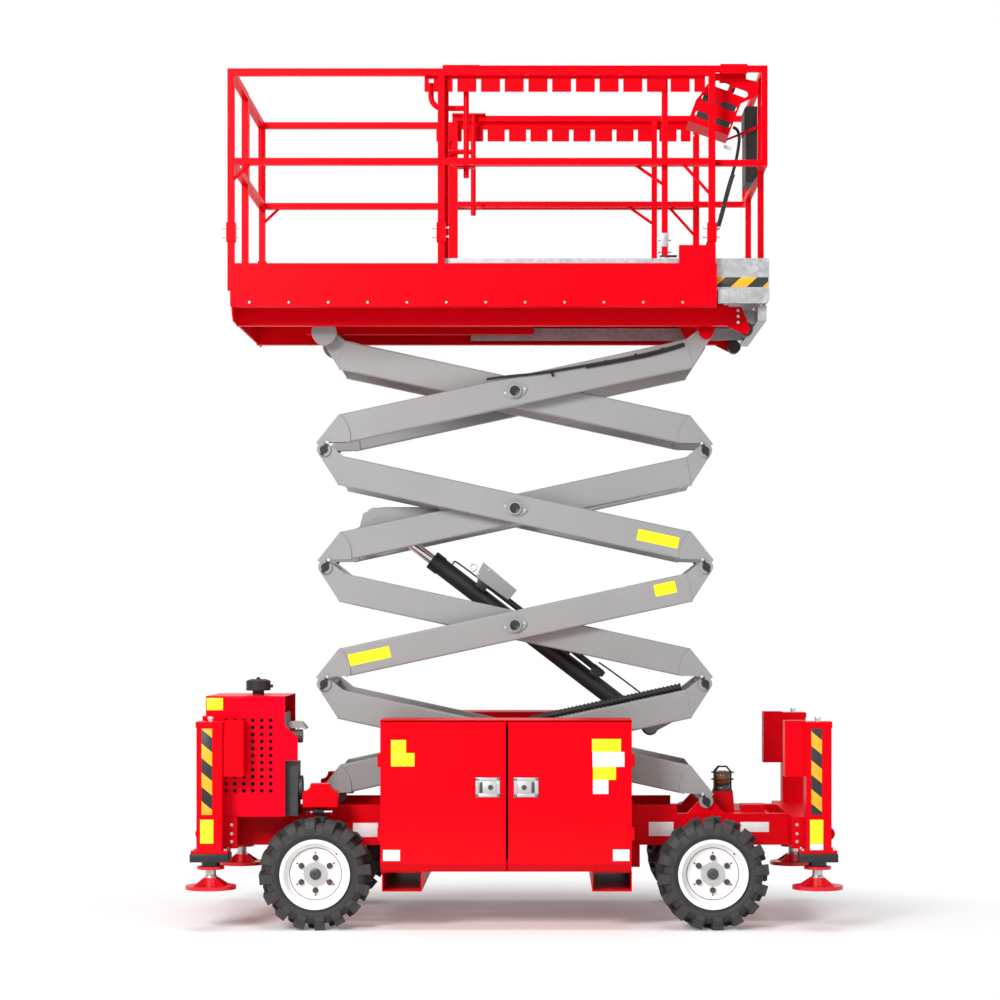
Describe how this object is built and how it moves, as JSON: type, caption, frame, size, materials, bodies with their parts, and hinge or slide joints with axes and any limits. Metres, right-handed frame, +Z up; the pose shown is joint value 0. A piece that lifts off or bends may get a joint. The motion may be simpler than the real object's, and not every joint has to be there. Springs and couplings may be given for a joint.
{
  "type": "rough-terrain scissor lift",
  "caption": "Self-propelled rough-terrain scissor lift with outriggers, side cabinets, a crossed-arm stack and a railed platform with a roll-out deck.",
  "frame": {"origin": "on the ground, midway between the axles and the two sides", "axes": "+X towards the end with the fixed scissor hinge and the roll-out deck, -Y is the near side with the near cabinet, +Z up"},
  "size_m": [3.319, 1.5238, 4.3509],
  "materials": {
    "red_paint": "gloss",
    "grey_paint": "satin",
    "black_paint": "satin",
    "white_paint": "gloss",
    "galvanised": "satin",
    "cast_block": "matt",
    "tyre_rubber": "matt",
    "chrome": "polished",
    "amber": "clear",
    "black_plastic": "matt",
    "black_rubber": "matt"
  },
  "bodies": {
    "chassis": {"chassis_frame": "red_paint", "outrigger_posts": "red_paint", "outrigger_flanges": "red_paint", "cabinet_near": "red_paint", "cabinet_far": "red_paint", "engine_cover": "red_paint", "engine_grille": "red_paint", "engine_block": "cast_block", "air_cleaner": "black_plastic", "steer_covers": "red_paint", "drive_motors": "black_paint", "beacon": "amber", "beacon_guard": "red_paint", "entry_ladder": "red_paint"},
    "arm_1_outer": {"arm_1_outer": "grey_paint"},
    "arm_1_inner": {"arm_1_inner": "grey_paint"},
    "arm_2_outer": {"arm_2_outer": "grey_paint"},
    "arm_2_inner": {"arm_2_inner": "grey_paint"},
    "arm_3_outer": {"arm_3_outer": "grey_paint"},
    "arm_3_inner": {"arm_3_inner": "grey_paint"},
    "arm_4_outer": {"arm_4_outer": "grey_paint"},
    "arm_4_inner": {"arm_4_inner": "grey_paint"},
    "lift_barrel": {"lift_barrel": "black_paint"},
    "lift_rod": {"lift_rod": "chrome", "rod_eye_pin": "chrome"},
    "platform": {"platform_frame": "red_paint", "platform_rails": "red_paint", "deck_rollers": "black_plastic"},
    "extension": {"extension_deck": "galvanised", "extension_rails": "red_paint", "control_guard": "red_paint", "control_box": "black_plastic", "control_cable": "black_rubber", "document_case": "black_plastic"},
    "gate": {"gate": "red_paint"},
    "door_near_left": {"door_near_left": "red_paint"},
    "jack_near_left": {"jack_near_left": "black_paint"},
    "wheel_near_left": {"rim_near_left": "white_paint", "tyre_near_left": "tyre_rubber"},
    "steer_near": {"steer_knuckle_near": "black_paint"},
    "door_near_right": {"door_near_right": "red_paint"},
    "jack_near_right": {"jack_near_right": "black_paint"},
    "wheel_near_right": {"rim_near_right": "white_paint", "tyre_near_right": "tyre_rubber"},
    "door_far_left": {"door_far_left": "red_paint"},
    "jack_far_left": {"jack_far_left": "black_paint"},
    "wheel_far_left": {"rim_far_left": "white_paint", "tyre_far_left": "tyre_rubber"},
    "steer_far": {"steer_knuckle_far": "black_paint"},
    "door_far_right": {"door_far_right": "red_paint"},
    "jack_far_right": {"jack_far_right": "black_paint"},
    "wheel_far_right": {"rim_far_right": "white_paint", "tyre_far_right": "tyre_rubber"}
  },
  "joints": [
    {"name": "lift", "type": "hinge", "parent": "chassis", "child": "arm_1_outer", "pos_m": [0.98287, 0, 0.624], "axis": [0, 1, 0], "range_deg": [-12.2, 44.2]},
    {"name": "stack_left_1", "type": "hinge", "parent": "arm_1_outer", "child": "arm_2_outer", "pos_m": [-0.98287, 0, 1.22649], "axis": [0, 1, 0], "range_deg": [-89, 25]},
    {"name": "stack_right_2", "type": "hinge", "parent": "arm_2_outer", "child": "arm_3_outer", "pos_m": [0.98287, 0, 1.82898], "axis": [0, 1, 0], "range_deg": [-25, 89]},
    {"name": "stack_left_3", "type": "hinge", "parent": "arm_3_outer", "child": "arm_4_outer", "pos_m": [-0.98287, 0, 2.43147], "axis": [0, 1, 0], "range_deg": [-89, 25]},
    {"name": "platform_hinge", "type": "hinge", "parent": "arm_4_outer", "child": "platform", "pos_m": [0.98287, 0, 3.03396], "axis": [0, 1, 0], "range_deg": [-12.8, 44.8]},
    {"name": "cross_1", "type": "hinge", "parent": "arm_1_outer", "child": "arm_1_inner", "pos_m": [0, 0, 0.92524], "axis": [0, 1, 0], "range_deg": [-89, 25]},
    {"name": "cross_2", "type": "hinge", "parent": "arm_2_outer", "child": "arm_2_inner", "pos_m": [0, 0, 1.52773], "axis": [0, 1, 0], "range_deg": [-25, 89]},
    {"name": "cross_3", "type": "hinge", "parent": "arm_3_outer", "child": "arm_3_inner", "pos_m": [0, 0, 2.13022], "axis": [0, 1, 0], "range_deg": [-89, 25]},
    {"name": "cross_4", "type": "hinge", "parent": "arm_4_outer", "child": "arm_4_inner", "pos_m": [0, 0, 2.73271], "axis": [0, 1, 0], "range_deg": [-25, 89]},
    {"name": "barrel_foot", "type": "hinge", "parent": "arm_1_inner", "child": "lift_barrel", "pos_m": [0.7058, 0, 0.99241], "axis": [0, 1, 0], "range_deg": [-23, 81]},
    {"name": "rod_slide", "type": "slide", "parent": "lift_barrel", "child": "lift_rod", "axis": [-0.7933, 0, 0.6089], "range_m": [-0.27, 0.95]},
    {"name": "extension_slide", "type": "slide", "parent": "platform", "child": "extension", "axis": [1, 0, 0], "range_m": [0, 0.9]},
    {"name": "gate_hinge", "type": "hinge", "parent": "platform", "child": "gate", "pos_m": [-1.4175, 0.628, 3.85095], "axis": [0, 0, 1], "range_deg": [0, 90]},
    {"name": "door_hinge_near_left", "type": "hinge", "parent": "chassis", "child": "door_near_left", "pos_m": [-0.676, -0.692, 0.6725], "axis": [0, 0, -1], "range_deg": [0, 90]},
    {"name": "jack_slide_near_left", "type": "slide", "parent": "chassis", "child": "jack_near_left", "axis": [0, 0, -1], "range_m": [0, 0.4]},
    {"name": "steering_near", "type": "hinge", "parent": "chassis", "child": "steer_near", "pos_m": [-0.9975, -0.575, 0.28], "axis": [0, 0, 1], "range_deg": [-25, 25]},
    {"name": "wheel_spin_near_left", "type": "hinge", "parent": "steer_near", "child": "wheel_near_left", "pos_m": [-0.9975, -0.595, 0.28], "axis": [0, 1, 0], "continuous": true},
    {"name": "door_hinge_near_right", "type": "hinge", "parent": "chassis", "child": "door_near_right", "pos_m": [0.596, -0.692, 0.6725], "axis": [0, 0, 1], "range_deg": [0, 90]},
    {"name": "jack_slide_near_right", "type": "slide", "parent": "chassis", "child": "jack_near_right", "axis": [0, 0, -1], "range_m": [0, 0.4]},
    {"name": "wheel_spin_near_right", "type": "hinge", "parent": "chassis", "child": "wheel_near_right", "pos_m": [0.9975, -0.595, 0.28], "axis": [0, 1, 0], "continuous": true},
    {"name": "door_hinge_far_left", "type": "hinge", "parent": "chassis", "child": "door_far_left", "pos_m": [-0.676, 0.692, 0.6725], "axis": [0, 0, 1], "range_deg": [0, 90]},
    {"name": "jack_slide_far_left", "type": "slide", "parent": "chassis", "child": "jack_far_left", "axis": [0, 0, -1], "range_m": [0, 0.4]},
    {"name": "steering_far", "type": "hinge", "parent": "chassis", "child": "steer_far", "pos_m": [-0.9975, 0.575, 0.28], "axis": [0, 0, 1], "range_deg": [-25, 25]},
    {"name": "wheel_spin_far_left", "type": "hinge", "parent": "steer_far", "child": "wheel_far_left", "pos_m": [-0.9975, 0.595, 0.28], "axis": [0, 1, 0], "continuous": true},
    {"name": "door_hinge_far_right", "type": "hinge", "parent": "chassis", "child": "door_far_right", "pos_m": [0.596, 0.692, 0.6725], "axis": [0, 0, -1], "range_deg": [0, 90]},
    {"name": "jack_slide_far_right", "type": "slide", "parent": "chassis", "child": "jack_far_right", "axis": [0, 0, -1], "range_m": [0, 0.4]},
    {"name": "wheel_spin_far_right", "type": "hinge", "parent": "chassis", "child": "wheel_far_right", "pos_m": [0.9975, 0.595, 0.28], "axis": [0, 1, 0], "continuous": true}
  ],
  "couplings": [
    {"joint": "stack_left_1", "follows": "lift", "ratio": -2},
    {"joint": "stack_right_2", "follows": "lift", "ratio": 2},
    {"joint": "stack_left_3", "follows": "lift", "ratio": -2},
    {"joint": "platform_hinge", "follows": "lift", "ratio": 1},
    {"joint": "cross_1", "follows": "lift", "ratio": -2},
    {"joint": "cross_2", "follows": "lift", "ratio": 2},
    {"joint": "cross_3", "follows": "lift", "ratio": -2},
    {"joint": "cross_4", "follows": "lift", "ratio": 2},
    {"joint": "barrel_foot", "follows": "lift", "ratio": 1.8},
    {"joint": "rod_slide", "follows": "lift", "m_per_rad": 1.2147},
    {"joint": "steering_far", "follows": "steering_near", "ratio": 1}
  ]
}
